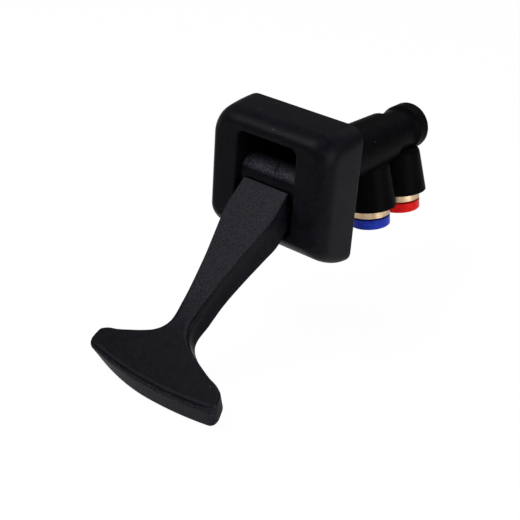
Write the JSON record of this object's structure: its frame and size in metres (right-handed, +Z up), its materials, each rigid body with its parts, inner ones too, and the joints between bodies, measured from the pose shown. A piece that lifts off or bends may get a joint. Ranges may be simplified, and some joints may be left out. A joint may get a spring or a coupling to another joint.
{
  "type": "trailer brake control valve",
  "caption": "Dash hand valve that applies trailer brakes: paddle lever in a square bezel, tubular valve body behind it, and two push-in tube ports.",
  "frame": {"origin": "centre of the bezel's rear face, in the plane that lies on the dash panel", "axes": "+X across the bezel, +Y into the dash along the valve body, +Z up, away from the tube ports"},
  "size_m": [0.0616, 0.1682, 0.091],
  "materials": {
    "black_moulding": "fine grained, slightly glossy",
    "black_body": "smooth, satin",
    "brass": "turned",
    "steel": "plain",
    "spring_steel": "drawn wire",
    "bronze": "sintered",
    "acetal": "natural",
    "aluminium": "turned",
    "rubber": "matt",
    "red_collar": "moulded",
    "blue_collar": "moulded"
  },
  "bodies": {
    "housing": {"bezel": "black_moulding", "mount_inserts": "brass", "pivot_pin": "steel", "pin_clips": "spring_steel", "thrust_washers": "acetal", "valve_body": "black_body", "body_screws": "steel", "graduating_spring": "spring_steel", "return_spring": "spring_steel", "valve_seat": "brass", "poppet_spring": "spring_steel", "end_cap": "black_body", "end_cap_seal": "rubber", "retaining_ring": "spring_steel", "delivery_cartridge": "brass", "delivery_cartridge_seal": "rubber", "delivery_tube_seal": "rubber", "delivery_grip_ring": "steel", "supply_cartridge": "brass", "supply_cartridge_seal": "rubber", "supply_tube_seal": "rubber", "supply_grip_ring": "steel"},
    "lever": {"lever": "black_moulding", "hub_bushes": "bronze"},
    "plunger": {"plunger": "acetal", "plunger_seal": "rubber"},
    "piston": {"piston": "aluminium", "piston_seal": "rubber"},
    "poppet": {"poppet": "acetal", "poppet_face": "rubber"},
    "delivery_collar": {"delivery_release_collar": "blue_collar"},
    "supply_collar": {"supply_release_collar": "red_collar"}
  },
  "joints": [
    {"name": "lever_swing", "type": "hinge", "parent": "housing", "child": "lever", "pos_m": [0, -0.0127, 0.003], "axis": [-1, 0, 0], "range_deg": [0, 60], "stiffness_Nm_per_rad": 0.1, "springref_deg": -20.05},
    {"name": "plunger_slide", "type": "slide", "parent": "housing", "child": "plunger", "axis": [0, 1, 0], "range_m": [0, 0.00273], "deforming": ["graduating_spring"]},
    {"name": "piston_slide", "type": "slide", "parent": "housing", "child": "piston", "axis": [0, 1, 0], "range_m": [0, 0.00137], "deforming": ["return_spring"]},
    {"name": "poppet_slide", "type": "slide", "parent": "housing", "child": "poppet", "axis": [0, 1, 0], "range_m": [0, 0.00074], "deforming": ["poppet_spring"]},
    {"name": "delivery_collar_push", "type": "slide", "parent": "housing", "child": "delivery_collar", "axis": [-0.1736, 0, 0.9848], "range_m": [0, 0.0007], "stiffness_N_per_m": 300, "springref_m": -0.0005},
    {"name": "supply_collar_push", "type": "slide", "parent": "housing", "child": "supply_collar", "axis": [-0.1736, 0, 0.9848], "range_m": [0, 0.0007], "stiffness_N_per_m": 300, "springref_m": -0.0005}
  ],
  "couplings": [
    {"joint": "plunger_slide", "follows": "lever_swing", "m_per_rad": 0.0026},
    {"joint": "piston_slide", "follows": "lever_swing", "m_per_rad": 0.0013},
    {"joint": "poppet_slide", "follows": "lever_swing", "m_per_rad": 0.0007}
  ]
}
